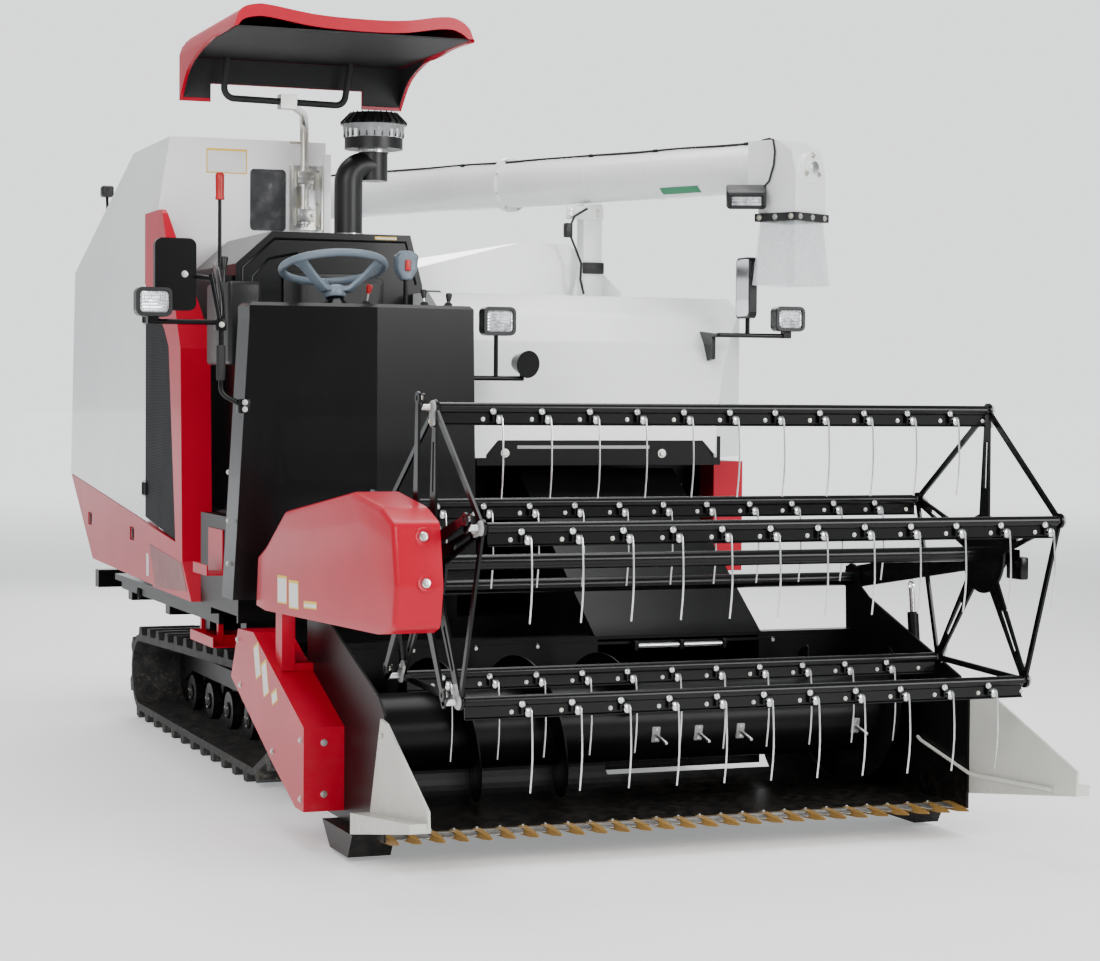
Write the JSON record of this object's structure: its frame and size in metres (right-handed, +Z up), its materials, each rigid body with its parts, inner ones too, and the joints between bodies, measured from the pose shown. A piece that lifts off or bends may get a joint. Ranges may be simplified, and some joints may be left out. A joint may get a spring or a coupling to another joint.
{
  "type": "combine harvester",
  "caption": "Rubber-tracked rice combine with a reel header, feeder house, operator's platform under a canopy, grain tank and swinging unloading pipe.",
  "frame": {"origin": "on the ground below the middle of the overall box", "axes": "+Z up, -Y the way it drives, -X the operator's right"},
  "size_m": [2.6685, 5.357, 2.842],
  "materials": {
    "red_paint": "gloss",
    "white_paint": "gloss",
    "black_paint": "gloss",
    "cream_paint": "satin",
    "ochre_paint": "satin",
    "zinc": "satin",
    "dark_steel": "satin",
    "track_rubber": "matte",
    "black_plastic": "satin",
    "wheel_plastic": "satin",
    "seat_vinyl": "satin",
    "clear": "clear",
    "smoked": "clear",
    "chrome_bar": "polished"
  },
  "bodies": {
    "root": {"track_right": "track_rubber", "track_left": "track_rubber", "track_frame_right": "black_paint", "track_frame_left": "black_paint", "chassis_frame": "black_paint", "transmission": "black_paint", "grain_tank": "white_paint", "unloader_base": "white_paint", "tank_window": "smoked", "side_cover_rear": "red_paint", "side_pillar": "red_paint", "platform": "black_paint", "engine_block": "black_paint", "engine_hood": "black_paint", "front_column": "black_paint", "seat": "seat_vinyl", "intake_pipe": "black_plastic", "intake_bowl": "clear", "lower_step": "red_paint", "upper_step": "red_paint", "canopy": "red_paint", "canopy_liner": "black_plastic", "canopy_post": "zinc", "mirror_right": "black_plastic", "lamp_centre": "black_plastic", "thresher": "black_paint", "front_cover": "white_paint", "side_cover_left": "white_paint", "lower_cover_left": "red_paint", "straw_hood": "black_paint", "mirror_left": "black_plastic"},
    "header": {"header_frame": "black_paint", "feeder_house": "black_paint", "header_cover": "red_paint", "cutterbar": "ochre_paint", "divider_right": "cream_paint", "divider_left": "cream_paint"},
    "header_auger": {"header_auger": "black_paint"},
    "reel_frame": {"reel_arms": "black_paint", "reel_cover": "red_paint"},
    "reel": {"reel_rotor": "black_paint"},
    "reel_control": {"control_ring": "black_paint"},
    "bat_1": {"reel_bat_1": "black_paint"},
    "bat_2": {"reel_bat_2": "black_paint"},
    "bat_3": {"reel_bat_3": "black_paint"},
    "bat_4": {"reel_bat_4": "black_paint"},
    "bat_5": {"reel_bat_5": "black_paint"},
    "header_ram_barrel": {"header_ram_barrel": "dark_steel"},
    "header_ram_rod": {"header_ram_rod": "chrome_bar"},
    "reel_ram_barrel": {"reel_ram_barrel": "dark_steel"},
    "reel_ram_rod": {"reel_ram_rod": "chrome_bar"},
    "unloader_ram_barrel": {"unloader_ram_barrel": "dark_steel"},
    "unloader_ram_rod": {"unloader_ram_rod": "chrome_bar"},
    "turret": {"unloader_turret": "white_paint"},
    "unloader": {"unloader_pipe": "white_paint", "spout_hood": "clear", "spout_band": "black_plastic"},
    "steering": {"steering_wheel": "wheel_plastic"},
    "door": {"screen_door": "black_plastic"},
    "lid": {"tank_lid": "white_paint"}
  },
  "joints": [
    {"name": "header_lift", "type": "hinge", "parent": "root", "child": "header", "pos_m": [0, -0.45, 1], "axis": [-1, 0, 0], "range_deg": [0, 22]},
    {"name": "header_auger_spin", "type": "hinge", "parent": "header", "child": "header_auger", "pos_m": [0, -1.5, 0.35], "axis": [1, 0, 0], "continuous": true},
    {"name": "reel_lift", "type": "hinge", "parent": "header", "child": "reel_frame", "pos_m": [0, -1.22, 0.8], "axis": [-1, 0, 0], "range_deg": [0, 22]},
    {"name": "reel_spin", "type": "hinge", "parent": "reel_frame", "child": "reel", "pos_m": [0, -2.163, 0.949], "axis": [1, 0, 0], "continuous": true},
    {"name": "reel_control_spin", "type": "hinge", "parent": "reel_frame", "child": "reel_control", "pos_m": [0, -2.203, 0.977], "axis": [1, 0, 0], "continuous": true},
    {"name": "bat_1_turn", "type": "hinge", "parent": "reel", "child": "bat_1", "pos_m": [0, -2.17933, 1.41671], "axis": [1, 0, 0], "continuous": true},
    {"name": "bat_2_turn", "type": "hinge", "parent": "reel", "child": "bat_2", "pos_m": [0, -2.61287, 1.078], "axis": [1, 0, 0], "continuous": true},
    {"name": "bat_3_turn", "type": "hinge", "parent": "reel", "child": "bat_3", "pos_m": [0, -2.4247, 0.56101], "axis": [1, 0, 0], "continuous": true},
    {"name": "bat_4_turn", "type": "hinge", "parent": "reel", "child": "bat_4", "pos_m": [0, -1.87487, 0.58021], "axis": [1, 0, 0], "continuous": true},
    {"name": "bat_5_turn", "type": "hinge", "parent": "reel", "child": "bat_5", "pos_m": [0, -1.72322, 1.10906], "axis": [1, 0, 0], "continuous": true},
    {"name": "unloader_swing", "type": "hinge", "parent": "root", "child": "turret", "pos_m": [-0.31, 2.145, 2.1], "axis": [0, 0, 1], "range_deg": [0, 190]},
    {"name": "unloader_lift", "type": "hinge", "parent": "turret", "child": "unloader", "pos_m": [-0.31, 2.145, 2.333], "axis": [-0.8869, -0.4621, 0], "range_deg": [0, 40]},
    {"name": "steering_turn", "type": "hinge", "parent": "root", "child": "steering", "pos_m": [-0.605, -0.705, 1.905], "axis": [0, 0.2419, 0.9703], "range_deg": [-120, 120]},
    {"name": "screen_door_swing", "type": "hinge", "parent": "root", "child": "door", "pos_m": [-0.96, 0.839, 1.4], "axis": [0, 0, -1], "range_deg": [0, 110]},
    {"name": "tank_lid_lift", "type": "hinge", "parent": "root", "child": "lid", "pos_m": [0, 1.325, 2.501], "axis": [-1, 0, 0], "range_deg": [0, 100]},
    {"name": "header_ram_turn", "type": "hinge", "parent": "root", "child": "header_ram_barrel", "pos_m": [0.4, -0.4, 0.47], "axis": [-1, 0, 0], "range_deg": [-1, 24]},
    {"name": "header_ram_stroke", "type": "slide", "parent": "header_ram_barrel", "child": "header_ram_rod", "axis": [0, -0.9558, -0.2941], "range_m": [0, 0.21]},
    {"name": "reel_ram_turn", "type": "hinge", "parent": "header", "child": "reel_ram_barrel", "pos_m": [1.245, -1.64, 0.4], "axis": [-1, 0, 0], "range_deg": [-1, 2]},
    {"name": "reel_ram_stroke", "type": "slide", "parent": "reel_ram_barrel", "child": "reel_ram_rod", "axis": [0, 0.1314, 0.9913], "range_m": [0, 0.145]},
    {"name": "unloader_ram_turn", "type": "hinge", "parent": "turret", "child": "unloader_ram_barrel", "pos_m": [-0.24069, 2.01197, 2.125], "axis": [-0.8869, -0.4621, 0], "range_deg": [-1, 42]},
    {"name": "unloader_ram_stroke", "type": "slide", "parent": "unloader_ram_barrel", "child": "unloader_ram_rod", "axis": [0.4487, -0.8613, 0.2384], "range_m": [0, 0.18]}
  ],
  "couplings": [
    {"joint": "reel_control_spin", "follows": "reel_spin", "ratio": 1},
    {"joint": "bat_1_turn", "follows": "reel_spin", "ratio": -1},
    {"joint": "bat_2_turn", "follows": "reel_spin", "ratio": -1},
    {"joint": "bat_3_turn", "follows": "reel_spin", "ratio": -1},
    {"joint": "bat_4_turn", "follows": "reel_spin", "ratio": -1},
    {"joint": "bat_5_turn", "follows": "reel_spin", "ratio": -1},
    {"joint": "header_ram_turn", "follows": "header_lift", "ratio": 1.008},
    {"joint": "header_ram_stroke", "follows": "header_lift", "m_per_rad": 0.53},
    {"joint": "reel_ram_turn", "follows": "reel_lift", "ratio": 0.04},
    {"joint": "reel_ram_stroke", "follows": "reel_lift", "m_per_rad": 0.3643},
    {"joint": "unloader_ram_turn", "follows": "unloader_lift", "ratio": 1.0175},
    {"joint": "unloader_ram_stroke", "follows": "unloader_lift", "m_per_rad": 0.2511}
  ]
}
